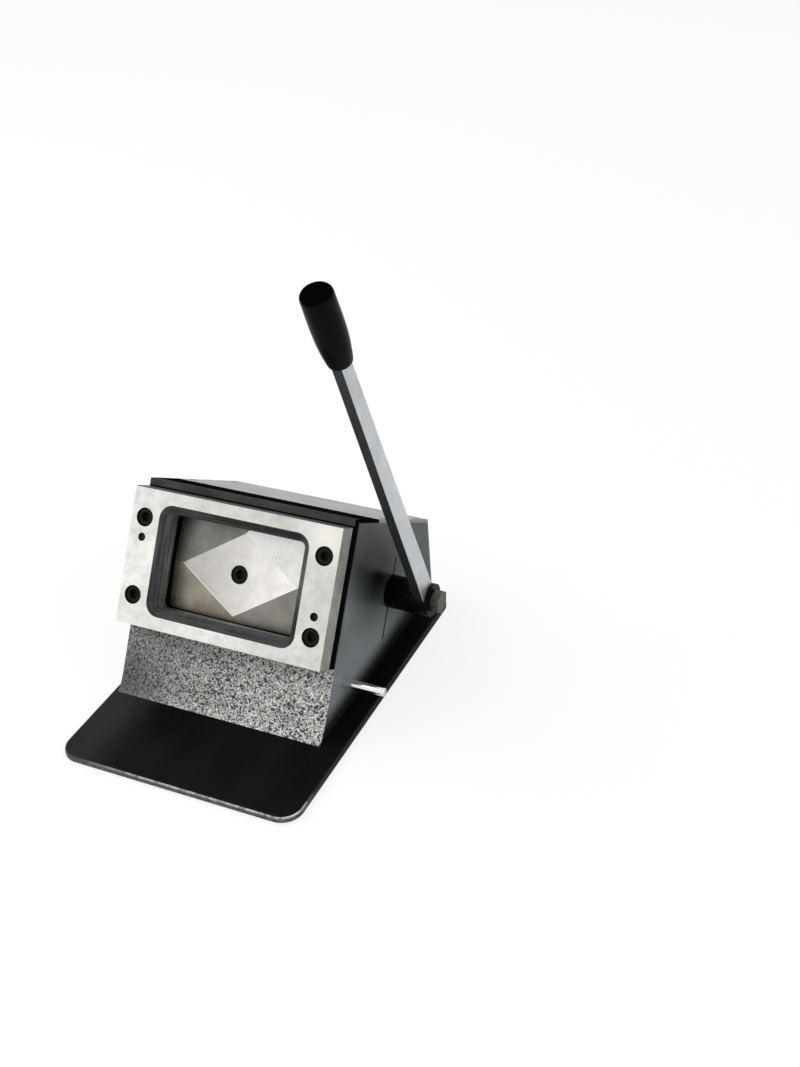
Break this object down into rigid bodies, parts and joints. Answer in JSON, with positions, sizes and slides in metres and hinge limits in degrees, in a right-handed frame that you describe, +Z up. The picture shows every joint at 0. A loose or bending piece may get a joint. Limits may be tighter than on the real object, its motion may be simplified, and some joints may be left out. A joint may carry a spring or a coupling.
{
  "type": "id card cutter",
  "caption": "Bench cutter for plastic ID cards: a leaning die plate with a card window, a punch behind it driven by a side lever, and a chute down to a flat base.",
  "frame": {"origin": "middle of the underside of the base, on the table", "axes": "+Z up, +Y from the chute to the rear, +X to the lever side"},
  "size_m": [0.1693, 0.211, 0.2783],
  "materials": {
    "ground_steel": "ground, bright",
    "punch_steel": "ground, satin",
    "dark_plate": "dark, satin",
    "black_steel": "black oxide, satin",
    "body_paint": "blue-grey, semi-gloss",
    "speckle_paint": "grey stone speckle, semi-gloss",
    "base_paint": "black, semi-gloss",
    "machined_steel": "machined",
    "polished_steel": "polished",
    "spring_steel": "satin",
    "bronze": "satin",
    "zinc_steel": "zinc plated",
    "bolt_steel": "brown-grey, satin",
    "lever_steel": "satin",
    "grip_plastic": "black, satin",
    "rubber": "matte",
    "chrome": "polished"
  },
  "bodies": {
    "frame": {"base_plate": "base_paint", "base_screws": "zinc_steel", "chute": "speckle_paint", "cover_screws": "black_steel", "die_plate": "ground_steel", "die_screws": "black_steel", "dowel_pins": "black_steel", "front_tie": "machined_steel", "guide_block": "machined_steel", "guide_plate": "dark_plate", "guide_rods": "polished_steel", "left_wall": "body_paint", "rear_cover": "body_paint", "rear_tie": "machined_steel", "return_springs": "spring_steel", "right_wall": "body_paint", "rubber_mat": "rubber", "shaft_bushes": "bronze", "slot_spacer": "black_steel", "stop_pin": "chrome", "strip_screws": "black_steel", "top_cover": "body_paint", "top_strip": "black_steel"},
    "ram_body": {"punch": "punch_steel", "punch_screw": "black_steel", "punch_dowels": "polished_steel", "ram": "machined_steel", "ram_bushes": "bronze", "wear_pad": "machined_steel", "pad_screws": "black_steel"},
    "lever_body": {"shaft": "polished_steel", "shaft_keys": "zinc_steel", "eccentric": "machined_steel", "shaft_collars": "black_steel", "collar_screws": "black_steel", "lever_hub": "black_steel", "lever_bar": "lever_steel", "lever_grip": "grip_plastic", "hub_bolt": "bolt_steel"}
  },
  "joints": [
    {"name": "lever_swing", "type": "hinge", "parent": "frame", "child": "lever_body", "pos_m": [-0.005, 0.04937, 0.04321], "axis": [1, 0, 0], "range_deg": [0, 76.5]},
    {"name": "ram_slide", "type": "slide", "parent": "frame", "child": "ram_body", "axis": [0, -0.848, 0.5299], "range_m": [0, 0.01046], "stiffness_N_per_m": 3000, "springref_m": -0.008, "deforming": ["return_springs"]}
  ],
  "couplings": [
    {"joint": "ram_slide", "follows": "lever_swing", "m_per_rad": 0.0078362}
  ]
}
